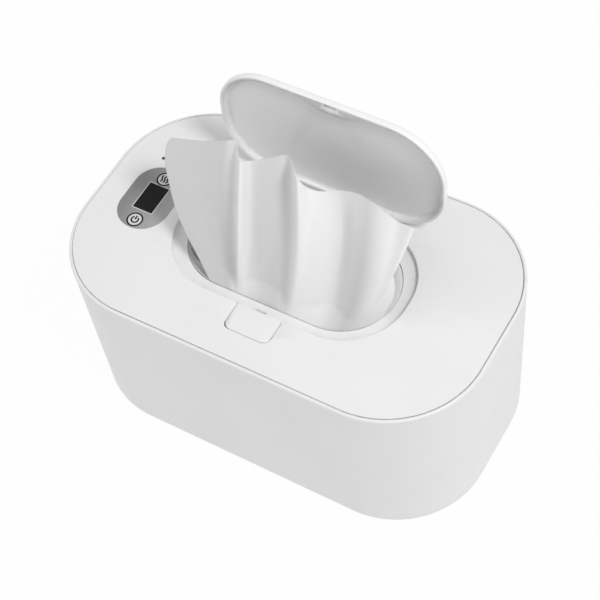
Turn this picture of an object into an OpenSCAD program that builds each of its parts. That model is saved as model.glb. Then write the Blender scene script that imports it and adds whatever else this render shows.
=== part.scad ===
// Baby wipe warmer: a heated chamber in a tapered shell, a lift-off top lid with a
// control panel, and a sprung flip cap over the mouth. Shown with the cap open and
// one wipe pulled up. Millimetres, +Z up, the front faces -Y, origin under the middle.

/* [Shell] */
// Width of the shell at its top
body_w = 200; // [190:1:215]
// Depth of the shell at its top
body_d = 120; // [112:1:132]
// Height of the shell, from its bottom edge to its top edge
body_h = 91.3; // [84:0.1:105]
// Radius of the upright corners, at the top
corner_r = 45; // [42:0.5:48]
// How far each side leans in from top to bottom
side_taper = 1.8; // [0.5:0.1:3]
// Wall of the shell
wall = 2.4; // [1.8:0.1:3]
// Thickness of the thin rim round the lid
rim_w = 1.6; // [1.2:0.1:2]
// Rounding of the rim's outer edge
top_edge_r = 0.9; // [0.3:0.1:1.1]
// Rounding of the bottom outer edge
bottom_edge_r = 2; // [0.5:0.1:3]
// Width of the inner shelf that carries the chamber
shelf_w = 5; // [4.8:0.1:5.4]
// Thickness of the shelf
shelf_t = 2; // [1.5:0.1:3]

/* [Base] */
// Thickness of the bottom cover
cover_t = 2.4; // [1.8:0.1:3]
// Gap round the bottom cover
cover_gap = 0.25; // [0.1:0.05:0.5]
// Radius of a foot
foot_r = 7; // [5:0.5:9]
// How far a foot stands out below the cover
foot_out = 1.5; // [1:0.1:3]
// How deep a foot sits in the cover
foot_sunk = 1; // [0.5:0.1:1.4]
// Foot position, sideways from the middle
foot_x = 62; // [50:1:72]
// Foot position, from the middle to the front or back
foot_y = 36; // [28:1:40]
// Radius of a cover screw's thread
cover_screw_r = 1.5; // [1.2:0.1:2]
// Length of a cover screw under its head
cover_screw_l = 10; // [8:0.5:12]
// Radius of a screw post in the shell
post_r = 4; // [3.5:0.1:5]

/* [Chamber] */
// Corner radius of the chamber, inside
chamber_r = 33; // [30:0.5:34]
// Wall of the chamber
tank_wall = 1.8; // [1.4:0.1:2.2]
// Thickness of the chamber's flange
flange_t = 2; // [1.6:0.1:2.6]
// Height of the chamber's floor above the shell's bottom edge, inside
floor_h = 20.9; // [20.5:0.1:26]
// Rounding between the chamber's floor and wall
floor_edge_r = 6; // [3:0.5:8]
// Radius of a chamber screw's thread
tank_screw_r = 1; // [0.8:0.1:1.2]

/* [Heater] */
// Thickness of the aluminium spreader plate
spreader_t = 1; // [0.8:0.1:1.5]
// Thickness of the heater film
film_t = 0.4; // [0.3:0.05:0.6]
// Thickness of the insulation pad under the heater
pad_t = 3; // [2:0.5:3.5]
// Thickness of the foam sleeve round the chamber
sleeve_t = 3.6; // [2:0.1:4]
// Clearance between stacked or wrapped pieces
fit_gap = 0.3; // [0.2:0.05:0.4]

/* [Power] */
// Distance of the power socket from the left side
socket_side = 42; // [40:1:54]
// Width of the socket's opening
socket_w = 9; // [8:0.1:12]
// Height of the socket's opening
socket_h = 3.3; // [2.8:0.1:4]
// Depth of the socket's shell
socket_d = 8; // [7:0.5:10]
// Thickness of the circuit boards
board_t = 1.6; // [1:0.1:2]
// Length of the power board
power_board_w = 56; // [50:1:60]
// Depth of the power board
power_board_d = 26; // [24:1:28]
// Height of the power board's posts
board_post_h = 2.6; // [2:0.1:3.5]

/* [Lid] */
// Thickness of the lid plate
lid_t = 2.6; // [2.4:0.1:3]
// Gap between the lid and the rim
lid_gap = 0.35; // [0.25:0.05:0.5]
// Depth of the lid's skirt and liner, under the lid plate
skirt_d = 9.4; // [9:0.1:12]
// Wall of the skirt
skirt_t = 1.8; // [1.4:0.1:2.2]
// Gap between the skirt and the chamber
skirt_gap = 0.8; // [0.6:0.1:1]
// Thickness of the liner
liner_t = 1.6; // [1.2:0.1:2]
// Radius of a lid screw's thread
lid_screw_r = 1.1; // [0.9:0.1:1.3]
// Depth of the seal's seat in the chamber's flange
seal_h = 2.1; // [1.6:0.1:2.4]
// Width of the seal's seat
seal_w = 2.6; // [2:0.1:3]

/* [Mouth] */
// Distance from each side of the body to the recess that the cap lies in
seat_side = 43.7; // [42:0.1:46]
// Distance from the body's front or back to the recess
seat_front = 29; // [28.4:0.1:29.6]
// Straight part at each end of the recess, on either side of the middle
seat_flat = 2.2; // [1:0.1:5]
// Rounding of the recess's upper edge
seat_edge_r = 0.6; // [0.2:0.1:1]
// Depth of the recess
seat_depth = 2.8; // [2.4:0.1:3.2]
// Floor and wall thickness of the recess
bowl_t = 1.6; // [1.2:0.1:1.8]
// Width of the ledge at each end of the mouth
ledge_l = 5.8; // [5:0.1:9]
// Width of the ledge in front of the mouth and behind it
ledge_d = 5.2; // [5:0.1:6]
// Straight part at each end of the mouth, on either side of the middle
mouth_flat = 0.2; // [0.1:0.1:4]
// Rounding of the mouth's edge
mouth_edge_r = 0.4; // [0.2:0.1:0.6]
// Thickness of the collar round the mouth
collar_t = 0.9; // [0.6:0.1:1]

/* [Flip cap] */
// Gap between each end of the closed cap and the recess
cap_end_gap = 0.9; // [0.6:0.1:1.5]
// Gap between the closed cap's front or back and the recess
cap_side_gap = 1.4; // [1.2:0.1:1.8]
// Straight part at each end of the cap, on either side of the middle
cap_flat = 3.6; // [2:0.1:8]
// Overall thickness of the cap
cap_t = 3.9; // [3.5:0.1:5]
// Skin thickness of the cap
cap_skin = 1.6; // [1.2:0.1:2]
// Width of the cap's rim
cap_rim = 1.9; // [1.5:0.1:2.5]
// Rounding of the cap's outer edge
cap_edge_r = 2; // [1:0.1:2.5]
// Gap under the closed cap's rim
cap_gap = 0.2; // [0.1:0.05:0.4]
// How far the cap stands open, in degrees
cap_open = 92.8; // [88:0.1:94]
// Distance of the hinge axis behind the cap's back edge
hinge_back = 5; // [4.8:0.1:5.2]
// Depth of the hinge axis under the top
hinge_drop = 3.7; // [3.6:0.1:3.9]
// Radius of the hinge pin
hinge_pin_r = 1; // [0.8:0.05:1.1]
// Radial clearance of a pin in its hole
pin_gap = 0.05; // [0.02:0.01:0.08]
// Distance of each hinge arm from the middle
arm_x = 22; // [18:0.5:24]
// Width of a hinge arm
arm_w = 4.5; // [3:0.1:5]
// Half thickness of a hinge arm
arm_half = 1; // [0.8:0.05:1.1]

/* [Latch button] */
// Sideways place of the button
button_x = 1.7; // [-4:0.1:4]
// Width of the button
button_w = 21.6; // [18:0.1:24]
// Depth of the button, from the recess to its front edge
button_len = 13.5; // [12:0.1:14]
// Thickness of the button's top
button_t = 1.8; // [1.5:0.1:2]
// Gap round the button
button_gap = 0.5; // [0.45:0.05:0.7]
// Rounding of the button's front corners
button_r = 3; // [1:0.1:4]
// Radius of the button's pin
button_pin_r = 0.8; // [0.6:0.05:0.9]

/* [Control panel] */
// Gap between the recess and the panel
panel_gap = 6; // [4.5:0.1:6.5]
// Width of the panel
panel_w = 24.2; // [20:0.1:25]
// Length of the panel, front to back
panel_l = 36; // [30:0.1:38]
// Thickness of the panel
panel_t = 0.6; // [0.4:0.05:0.8]
// Width of the display window
display_w = 10; // [8:0.1:12]
// Length of the display window
display_l = 15; // [12:0.1:16]
// Distance of each touch key from the middle of the panel
key_y = 12.8; // [11:0.1:13.5]
// Radius of the indicator lens
lens_r = 0.8; // [0.6:0.05:1.2]
// Distance of the indicator lens from the middle of the panel, sideways
lens_left = 7.2; // [5:0.1:7.6]
// Distance of the indicator lens behind the panel
lens_back = 3.9; // [3:0.1:5]

/* [Wipe] */
// Height of the pulled wipe above the top, at its highest fold
wipe_h = 58; // [45:1:68]
// Thickness of the wipe as a solid
wipe_t = 0.9; // [0.6:0.1:1.2]
// Depth of the tail below the recess floor
wipe_tail = 12; // [8:1:16]
// Gap between the wipe's left end and the end of the mouth
wipe_left_gap = 23; // [18:0.5:26]
// Gap between the wipe's right end and the end of the mouth
wipe_right_gap = 1.5; // [1:0.5:12]

/* [Hidden] */
$fn = 48;
eps = 0.01;

// The corners of every rounded outline turn about these two centre distances
centre_x = body_w / 2 - corner_r;
centre_y = body_d / 2 - corner_r;
base_z = foot_out;
top_z = base_z + body_h;
rim_in = corner_r - rim_w;
bottom_r = corner_r - side_taper;

// Lid and chamber levels, from the top down
lid_under = top_z - lid_t;
shelf_top = lid_under - flange_t;
seal_floor = lid_under - seal_h;
skirt_bottom = lid_under - skirt_d;
skirt_out = chamber_r - skirt_gap;
skirt_in = skirt_out - skirt_t;
lid_r = rim_in - lid_gap;
seal_seat_r = chamber_r + seal_w;
seat_z = top_z - seat_depth;
seat_l = body_w / 2 - seat_side;
seat_d = body_d / 2 - seat_front;
seat_r = seat_d - seat_flat;
mouth_l = seat_l - ledge_l;
mouth_d = seat_d - ledge_d;
mouth_r = mouth_d - mouth_flat;
cap_l = seat_l - cap_end_gap;
cap_d = seat_d - cap_side_gap;
cap_r = cap_d - cap_flat;
bowl_z = seat_z - bowl_t;

// Hollow posts of the bottom cover that carry the heater stack
pad_inner_x = centre_x - 25;
pad_inner_y = centre_y + 11;
pad_supports = [[-centre_x - 11, 0], [centre_x + 11, 0], [-pad_inner_x, -pad_inner_y],
  [pad_inner_x, -pad_inner_y], [pad_inner_x, pad_inner_y], [-pad_inner_x, pad_inner_y - 18]];
cutoff_x = centre_x - 21;
sensor_x = -pad_inner_x;

// Heater stack under the chamber, from the chamber's floor down
floor_top = base_z + floor_h;
floor_under = floor_top - tank_wall;
spreader_z = floor_under - spreader_t;
film_z = spreader_z - film_t;
pad_z = film_z - pad_t;
cover_top = base_z + cover_t;
floor_r = chamber_r - 1;

// Screw posts of the shell stand in its corners
post_reach = bottom_r - wall - cover_gap - 2 * cover_screw_r - 1.5;
post_top = pad_z + 1;
rib_t = 2.4;
screw_head_h = 1.4;

// Board and socket places
board_z = cover_top + board_post_h;
socket_x = socket_side - body_w / 2;
power_board_from_socket = 18;
power_board_from_back = 21;
power_board_x = socket_x + power_board_from_socket;
power_board_y = body_d / 2 - power_board_from_back;
board_hole_x = power_board_w / 2 - 4;
board_hole_y = power_board_d / 2 - 6;
socket_z = board_z + board_t + socket_h / 2 + 0.5;
socket_shell_t = 0.4;
lead_r = 0.7;
back_y = centre_y + bottom_r;

// Lid screws: four near the corners and four along the long sides
lid_bosses = [for (sx = [-1, 1], sy = [-1, 1]) each [[sx * (centre_x + 15), sy * (centre_y + 19)],
  [sx * 31, sy * (centre_y + 25.6)]]];
lid_boss_r = 3;

// Hinge of the flip cap
axis_y = cap_d + hinge_back;
axis_z = top_z - hinge_drop;
boss_r = 1.9;
arm_gap = 0.4;
ear_t = 2.4;
rim_z = seat_z + cap_gap;
arm_mid_y = axis_y - 3.15;
arm_mid_z = axis_z - 1.2;
arm_mean_r = 3.15;
skin_over_hinge = 1.5;
pin_half = arm_x + arm_w / 2 + arm_gap + ear_t;

// Rocker under the latch button
button_front = seat_d + button_len;
button_top_y = seat_d + 0.6;
spring_y = 4.4 - button_front;
rocker_y = -(seat_d + 2.6);
rocker_z = top_z - 3.6;
rocker_r = 1.7;
lip_w = 4.4;
lip_t = 0.8;
lip_drop = 0.6;
lip_gap = 0.3;
slot_w = 5.8;
slot_d = 2.1;
slot_depth = 2;
button_half = button_w / 2;

// Control panel stack
panel_x = -(seat_l + panel_gap + panel_w / 2);
panel_z = top_z - panel_t;
lens_x = panel_x - lens_left;
lens_y = panel_l / 2 + lens_back;
control_board_z = lid_under - 5.2;
control_board_t = 1.2;
control_board_left = panel_x - panel_w / 2 + 3.5;
control_board_right = panel_x + panel_w / 2 - 2.1;
control_board_front = -panel_l / 2 - 2;
control_board_back = lens_y + 2.1;

// Wipe: the foot follows the mouth's edge, half a wipe and a gap inside it
wipe_gap = 0.5;
wipe_foot_d = mouth_d - wipe_gap - wipe_t / 2;
wipe_left = wipe_left_gap - mouth_l;
wipe_right = mouth_l - wipe_right_gap;
wipe_cols = 57;
wipe_rows = 7;

// A rounded rectangle from its half sizes and corner radius
module rounded(half_x, half_y, r) {
  square([2 * half_x, 2 * (half_y - r)], center = true);
  square([2 * (half_x - r), 2 * half_y], center = true);
  for (sx = [-1, 1], sy = [-1, 1])
    translate([sx * (half_x - r), sy * (half_y - r)])
      circle(r);
}

// A flat plate with rounded corners between two levels
module plate(half_x, half_y, r, z0, z1) {
  translate([0, 0, z0])
    linear_extrude(z1 - z0)
      rounded(half_x, half_y, r);
}

// A plate whose corners turn about the shell's own corner centres
module inner_plate(r, z0, z1) {
  plate(centre_x + r, centre_y + r, r, z0, z1);
}

// Carries a wall section (x outwards from the corner centres, y up) round the outline
module around(cx, cy) {
  for (side = [0:3]) {
    along = side % 2 == 0 ? cx : cy;
    across = side % 2 == 0 ? cy : cx;
    rotate([0, 0, side * 90]) {
      translate([-along, across, 0])
        rotate([90, 0, 90])
          linear_extrude(2 * along)
            children();
      translate([along, across, 0])
        rotate_extrude(angle = 90)
          children();
    }
  }
}

// Points of an arc in a wall section
function arc(x, y, r, from, to, steps = 6) =
  [for (i = [0:steps]) let (a = from + (to - from) * i / steps) [x + r * cos(a), y + r * sin(a)]];

// A plate standing across the part: a side view (y, z) given a width along x
module across_x(x, w) {
  translate([x - w / 2, 0, 0])
    rotate([90, 0, 90])
      linear_extrude(w)
        children();
}

module rod_x(x0, x1, y, z, r) {
  translate([x0, y, z])
    rotate([0, 90, 0])
      cylinder(r = r, h = x1 - x0);
}

module at_corners(x, y) {
  for (sx = [-1, 1], sy = [-1, 1])
    translate([sx * x, sy * y, 0])
      children();
}

// Copies placed on the corners' diagonals, at a distance from the corner centres
module round_corners(reach) {
  for (sx = [-1, 1], sy = [-1, 1])
    translate([sx * centre_x, sy * centre_y, 0])
      rotate([0, 0, atan2(sy, sx)])
        translate([reach, 0, 0])
          children();
}

// Outer half size of the leaning wall at a level
function lean(z) = corner_r - side_taper * (top_z - z) / body_h;

module shell_section() {
  polygon(concat(
    arc(bottom_r - bottom_edge_r, base_z + bottom_edge_r, bottom_edge_r, -90, 0),
    arc(corner_r - top_edge_r, top_z - top_edge_r, top_edge_r, 0, 90),
    [[rim_in, top_z], [rim_in, shelf_top], [rim_in - shelf_w, shelf_top],
      [rim_in - shelf_w, shelf_top - shelf_t],
      [lean(shelf_top - shelf_t - shelf_w / 2) - wall, shelf_top - shelf_t - shelf_w / 2],
      [bottom_r - wall, base_z]]));
}

module outer_shell() {
  color("whitesmoke")
    difference() {
      union() {
        around(centre_x, centre_y)
          shell_section();
        round_corners(post_reach)
          translate([0, 0, cover_top]) {
            cylinder(r = post_r, h = post_top - cover_top);
            translate([0, -rib_t / 2, 0])
              cube([bottom_r - wall / 2 - post_reach, rib_t, post_top - cover_top]);
          }
      }
      round_corners(post_reach)
        translate([0, 0, cover_top - eps])
          cylinder(r = cover_screw_r, h = cover_screw_l);
      socket_hole(socket_shell_t + fit_gap, wall + 8);
      tank_screw_holes();
    }
}

// Opening through the back wall for the socket's shell
module socket_hole(margin, depth) {
  translate([socket_x, back_y + 4, socket_z])
    rotate([90, 0, 0])
      linear_extrude(depth)
        rounded(socket_w / 2 + margin, socket_h / 2 + margin, socket_h / 2 + margin - eps);
}

module bottom_cover() {
  color("gainsboro")
    difference() {
      union() {
        inner_plate(bottom_r - wall - cover_gap, base_z, cover_top);
        for (p = pad_supports)
          translate([p[0], p[1], cover_top])
            difference() {
              cylinder(r = 5, h = pad_z - cover_top);
              cylinder(r = 3.4, h = pad_z);
            }
        board_post_places()
          translate([0, 0, cover_top])
            cylinder(r = 3, h = board_post_h);
      }
      at_corners(foot_x, foot_y)
        translate([0, 0, base_z - eps])
          cylinder(r = foot_r + fit_gap, h = foot_sunk + eps);
      round_corners(post_reach) {
        translate([0, 0, base_z - eps])
          cylinder(r = cover_screw_r + 0.2, h = cover_t + 2 * eps);
        translate([0, 0, base_z - eps])
          cylinder(r = 2 * cover_screw_r + 0.2, h = screw_head_h + eps);
      }
      board_post_places()
        translate([0, 0, cover_top])
          cylinder(r = tank_screw_r, h = board_post_h + eps);
    }
}

module board_post_places() {
  for (sx = [-1, 1], sy = [-1, 1])
    translate([power_board_x + sx * board_hole_x, power_board_y + sy * board_hole_y, 0])
      children();
}

module rubber_feet() {
  color("dimgray")
    at_corners(foot_x, foot_y)
      rotate_extrude()
        polygon([[0, 0], [foot_r - 0.8, 0], [foot_r, 0.8], [foot_r, base_z + foot_sunk],
          [0, base_z + foot_sunk]]);
}

// A pan-head screw pointing up, its head's outer face at z = 0
module screw(r, l, head_h) {
  difference() {
    union() {
      cylinder(r = 2 * r, h = head_h);
      cylinder(r = r - pin_gap, h = head_h + l);
    }
    translate([0, 0, -eps])
      cylinder(r = 0.8 * r, h = head_h * 0.6, $fn = 6);
  }
}

module cover_screws() {
  color("silver")
    round_corners(post_reach)
      translate([0, 0, base_z])
        screw(cover_screw_r, cover_screw_l - screw_head_h + cover_t - 1, screw_head_h);
}

// Chamber wall with its rounded floor edge, seal seat and flange
module chamber_section() {
  polygon(concat(
    arc(floor_r - floor_edge_r, floor_top + floor_edge_r, floor_edge_r, -90, 0),
    [[chamber_r, seal_floor], [seal_seat_r, seal_floor], [seal_seat_r, lid_under],
      [rim_in - fit_gap, lid_under], [rim_in - fit_gap, shelf_top],
      [seal_seat_r + tank_wall, shelf_top], [seal_seat_r + tank_wall, seal_floor - tank_wall],
      [chamber_r + tank_wall, seal_floor - tank_wall - seal_w]],
    arc(floor_r - floor_edge_r, floor_top + floor_edge_r, floor_edge_r + tank_wall, 0, -90)));
}

module wipe_chamber() {
  color("white")
    difference() {
      union() {
        around(centre_x, centre_y)
          chamber_section();
        inner_plate(floor_r - floor_edge_r + eps, floor_under, floor_top);
      }
      tank_screw_holes();
    }
}

// Four screws hold the flange to the shelf, under the lid
module tank_screw_places() {
  round_corners(rim_in - 2.9)
    children();
}

module tank_screw_holes() {
  tank_screw_places() {
    translate([0, 0, shelf_top - shelf_t - eps])
      cylinder(r = tank_screw_r, h = shelf_t + flange_t + 1);
    translate([0, 0, lid_under - 1])
      cylinder(r = 2 * tank_screw_r + 0.15, h = 1 + eps);
  }
}

module chamber_screws() {
  color("silver")
    tank_screw_places()
      translate([0, 0, lid_under - fit_gap / 2])
        rotate([180, 0, 0])
          screw(tank_screw_r, flange_t + shelf_t - 1, 1 - fit_gap / 2);
}

module insulation_sleeve() {
  sleeve_in = chamber_r + tank_wall + fit_gap;
  color("lightgray")
    around(centre_x, centre_y)
      translate([sleeve_in, floor_top + floor_edge_r])
        square([sleeve_t, seal_floor - tank_wall - seal_w - 2 - floor_top - floor_edge_r]);
}

module heat_spreader() {
  color("silver")
    difference() {
      inner_plate(floor_r - floor_edge_r, spreader_z, floor_under);
      cutoff_place()
        cube([20, 9, 4], center = true);
      sensor_place()
        cylinder(r = 2.6, h = 8, center = true);
    }
}

module heater_film() {
  color("peru")
    difference() {
      inner_plate(floor_r - floor_edge_r - 2, film_z, spreader_z);
      cutoff_place()
        cube([20, 9, 4], center = true);
      sensor_place()
        cylinder(r = 2.6, h = 8, center = true);
    }
}

module insulation_pad() {
  color("darkgray")
    difference() {
      inner_plate(floor_r - floor_edge_r - 1, pad_z, film_z);
      cutoff_place()
        cube([20, 9, 12], center = true);
      sensor_place()
        cylinder(r = 2.6, h = 14, center = true);
      lead_places()
        cylinder(r = lead_r + fit_gap, h = pad_t + 2 * eps);
    }
}

// Middle of the spreader's underside, where the cut-off lies
module cutoff_place() {
  translate([cutoff_x, 0, spreader_z + spreader_t / 2])
    children();
}

module sensor_place() {
  translate([sensor_x, 0, spreader_z + spreader_t / 2])
    children();
}

module temperature_sensor() {
  color("black")
    translate([sensor_x, 0, floor_under - 4])
      rotate_extrude()
        polygon([[0, 0], [1.4, 0], [2.2, 1], [2.2, 4], [0, 4]]);
}

module thermal_cutoff() {
  color("silver")
    translate([cutoff_x, 0, floor_under - 2.2]) {
      rod_x(-6, 6, 0, 0, 2.2);
      rod_x(-9, 9, 0, 0, 0.5);
    }
}

// A place on the power board, from its middle
module on_power_board(x, y) {
  translate([power_board_x + x, power_board_y + y, board_z + board_t])
    children();
}

module power_board() {
  color("darkgreen")
    difference() {
      union() {
        translate([power_board_x - power_board_w / 2, power_board_y - power_board_d / 2, board_z])
          cube([power_board_w, power_board_d, board_t]);
        for (i = [0:2])
          on_power_board(8 * i, 8)
            cylinder(r = 3, h = 4.6);
        on_power_board(-12, -8)
          cube([12, 9, 2.2]);
        on_power_board(-12, 4)
          cube([6, 7, 3.4]);
      }
      board_post_places()
        translate([0, 0, board_z - eps])
          cylinder(r = tank_screw_r + 0.1, h = board_t + 2 * eps);
    }
}

module power_socket() {
  half_w = socket_w / 2 + socket_shell_t;
  half_h = socket_h / 2 + socket_shell_t;
  color("silver")
    translate([socket_x, back_y - 0.8, socket_z])
      rotate([90, 0, 0]) {
        difference() {
          linear_extrude(socket_d)
            rounded(half_w, half_h, half_h - eps);
          translate([0, 0, -eps])
            linear_extrude(socket_d - 1)
              rounded(socket_w / 2, socket_h / 2, socket_h / 2 - eps);
        }
        translate([-socket_w / 2 + 1.2, -0.35, 1])
          cube([socket_w - 2.4, 0.7, socket_d - 1.5]);
      }
}

module board_screws() {
  color("silver")
    board_post_places()
      translate([0, 0, board_z + board_t + 1])
        rotate([180, 0, 0])
          screw(tank_screw_r, board_t + board_post_h - 0.6, 1);
}

// Two leads rise from the power board to the heater film
module heater_leads() {
  color("firebrick")
    lead_places()
      translate([0, 0, board_z + board_t - pad_z + eps])
        cylinder(r = lead_r, h = film_z - board_z - board_t);
}

module lead_places() {
  for (i = [0, 1])
    translate([power_board_x + 10 + 5 * i, power_board_y - power_board_d / 2 + 3, pad_z - eps])
      children();
}

module lid_plate() {
  color("white")
    difference() {
      union() {
        inner_plate(lid_r, lid_under, top_z);
        plate(seat_l + bowl_t, seat_d + bowl_t, seat_r + bowl_t, bowl_z, top_z);
        around(centre_x, centre_y)
          translate([skirt_in, skirt_bottom])
            square([skirt_t, skirt_d]);
        for (p = lid_bosses)
          translate([p[0], p[1], skirt_bottom + liner_t])
            cylinder(r = lid_boss_r, h = skirt_d - liner_t);
        hinge_ears();
        button_ears();
        board_bosses();
      }
      plate(seat_l, seat_d, seat_r, seat_z, top_z + 1);
      plate(mouth_l, mouth_d, mouth_r, bowl_z - 1, seat_z + 1);
      around(seat_l - seat_r, seat_d - seat_r)
        edge_cut(seat_r, top_z, seat_edge_r);
      around(mouth_l - mouth_r, mouth_d - mouth_r)
        edge_cut(mouth_r, seat_z, mouth_edge_r);
      for (p = lid_bosses)
        translate([p[0], p[1], skirt_bottom])
          cylinder(r = lid_screw_r, h = skirt_d - 1);
      hinge_slots();
      button_window();
      panel_recess();
      control_screw_places()
        translate([0, 0, control_board_z])
          cylinder(r = tank_screw_r, h = 4);
      translate([lens_x, lens_y, lid_under - 1])
        cylinder(r = lens_r + pin_gap, h = lid_t + 2);
    }
}

// What is cut off to round the upper edge of an opening
module edge_cut(x, z, r) {
  polygon(concat([[x - eps, z + eps], [x - eps, z - r]], arc(x + r, z - r, r, 180, 90),
    [[x + r, z + eps]]));
}

// Ears beside each hinge arm carry the pin
module hinge_ears() {
  for (sx = [-1, 1], side = [-1, 1])
    across_x(sx * (arm_x + side * (arm_w / 2 + arm_gap + ear_t / 2)), ear_t) {
      translate([axis_y, axis_z])
        circle(boss_r + 0.3);
      translate([axis_y - boss_r - 0.3, axis_z])
        square([2 * boss_r + 0.6, lid_under - axis_z + 1]);
    }
}

module hinge_slots() {
  for (sx = [-1, 1]) {
    x0 = sx * arm_x - arm_w / 2 - arm_gap;
    translate([x0, mouth_d + collar_t, bowl_z - 1])
      cube([arm_w + 2 * arm_gap, axis_y - boss_r + 0.1 - mouth_d - collar_t, top_z - bowl_z + 2]);
    translate([x0, axis_y - boss_r, bowl_z - 3])
      cube([arm_w + 2 * arm_gap, 2 * boss_r + 1.2, top_z - skin_over_hinge - bowl_z + 3]);
  }
  rod_x(-pin_half - eps, pin_half + eps, axis_y, axis_z, hinge_pin_r + pin_gap);
  translate([-2, axis_y - boss_r - 0.3, bowl_z - 3])
    cube([17, 2 * boss_r + 0.8, top_z - skin_over_hinge - bowl_z + 3]);
}

module button_ears() {
  for (side = [-1, 1])
    across_x(button_x + side * (button_half + button_gap + 1.2), 2.4) {
      translate([rocker_y, rocker_z])
        circle(rocker_r + 0.6);
      translate([rocker_y - rocker_r - 0.6, rocker_z])
        square([2 * rocker_r + 1.2, lid_under - rocker_z + 1]);
    }
}

// The window runs into the recess, so the button's back edge closes the recess wall
module button_window() {
  half = button_half + button_gap;
  translate([button_x, 0, bowl_z - 2])
    linear_extrude(top_z - bowl_z + 3)
      button_outline(half, button_front + button_gap, seat_d + 0.2, button_r + button_gap);
  rod_x(button_x - half - 2.5, button_x + half + 2.5, rocker_y, rocker_z, button_pin_r + pin_gap);
  translate([button_x - half, -seat_d - 1, seat_z])
    cube([2 * half, 1.5, seat_depth + 1]);
}

// Outline of the button or its window, its front corners rounded
module button_outline(half, front, back, r) {
  translate([-half, -front + r])
    square([2 * half, front - r - back]);
  translate([-half + r, -front])
    square([2 * (half - r), r + 1]);
  for (sx = [-1, 1])
    translate([sx * (half - r), -front + r])
      circle(r);
}

module panel_recess() {
  translate([panel_x, 0, 0]) {
    plate(panel_w / 2 + 0.1, panel_l / 2 + 0.1, panel_w / 2, panel_z, top_z + 1);
    plate(display_w / 2 + 0.6, display_l / 2 + 0.6, 0.4, lid_under - 1, top_z);
  }
}

module board_bosses() {
  control_screw_places()
    translate([0, 0, control_board_z + control_board_t])
      cylinder(r = 2.2, h = lid_under - control_board_z - control_board_t);
}

module control_screw_places() {
  for (y = [control_board_front + 4, control_board_back - 6])
    translate([control_board_right - 3, y, 0])
      children();
}

module lid_liner() {
  color("gainsboro")
    difference() {
      union() {
        inner_plate(skirt_in - 0.2, skirt_bottom, skirt_bottom + liner_t);
        plate(mouth_l + collar_t, mouth_d + collar_t, mouth_r + collar_t, skirt_bottom, bowl_z);
        translate([button_x, spring_y, skirt_bottom + liner_t])
          cylinder(r = 1.2, h = 1.6);
      }
      plate(mouth_l, mouth_d, mouth_r, skirt_bottom - 1, bowl_z + 1);
      for (p = lid_bosses)
        translate([p[0], p[1], skirt_bottom - eps]) {
          cylinder(r = lid_screw_r + 0.1, h = liner_t + 2 * eps);
          cylinder(r = 2 * lid_screw_r + 0.15, h = 0.8);
        }
    }
}

module lid_screws() {
  color("silver")
    for (p = lid_bosses)
      translate([p[0], p[1], skirt_bottom])
        screw(lid_screw_r, 5.4, 0.8 - eps);
}

// Silicone ring with two small lips, in the corner between skirt and plate
module lid_seal() {
  lip = seal_w + skirt_gap - fit_gap;
  color("lightgray")
    around(centre_x, centre_y)
      polygon([[skirt_out, lid_under], [skirt_out, seal_floor + fit_gap + 0.5],
        [skirt_out + 0.8, seal_floor + fit_gap], [skirt_out + 1.6, seal_floor + fit_gap + 0.5],
        [skirt_out + 2.2, seal_floor + fit_gap], [skirt_out + lip, seal_floor + fit_gap + 0.6],
        [skirt_out + lip, lid_under - 0.4], [skirt_out + lip - 0.4, lid_under]]);
}

module control_panel() {
  color("darkgray")
    translate([panel_x, 0, 0])
      difference() {
        plate(panel_w / 2, panel_l / 2, panel_w / 2 - 0.1, panel_z, top_z - 0.05);
        plate(display_w / 2 + 0.05, display_l / 2 + 0.05, 0.3, panel_z - 1, top_z + 1);
      }
}

module display_window() {
  color("black")
    translate([panel_x, 0, 0])
      plate(display_w / 2, display_l / 2, 0.3, panel_z - 0.4, top_z);
}

module display_module() {
  color("darkslategray")
    translate([panel_x, 0, 0]) {
      plate(display_w / 2 + 0.3, display_l / 2 + 0.3, 0.3, lid_under, panel_z - 0.4);
      plate(display_w / 2 + 1.8, display_l / 2 + 2, 0.4, control_board_z + control_board_t, lid_under);
    }
}

module control_board() {
  color("darkgreen")
    difference() {
      translate([control_board_left, control_board_front, control_board_z])
        cube([control_board_right - control_board_left, control_board_back - control_board_front,
          control_board_t]);
      control_screw_places()
        translate([0, 0, control_board_z - eps])
          cylinder(r = tank_screw_r + 0.1, h = control_board_t + 2 * eps);
    }
}

module control_board_screws() {
  color("silver")
    control_screw_places()
      translate([0, 0, control_board_z - 0.8])
        screw(tank_screw_r, 3.6, 0.8);
}

// Contact springs that carry the touch keys' signal to the plate's underside
module touch_springs() {
  spring_h = lid_under - control_board_z - control_board_t;
  color("goldenrod")
    for (s = [-1, 1])
      translate([panel_x, s * key_y, control_board_z + control_board_t])
        difference() {
          cylinder(r = 3, h = spring_h);
          translate([0, 0, -eps])
            cylinder(r = 2.4, h = spring_h + 2 * eps);
        }
}

module indicator_lens() {
  color("black")
    translate([lens_x, lens_y, control_board_z + control_board_t + fit_gap])
      cylinder(r = lens_r, h = top_z - control_board_z - control_board_t - fit_gap);
}

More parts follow.
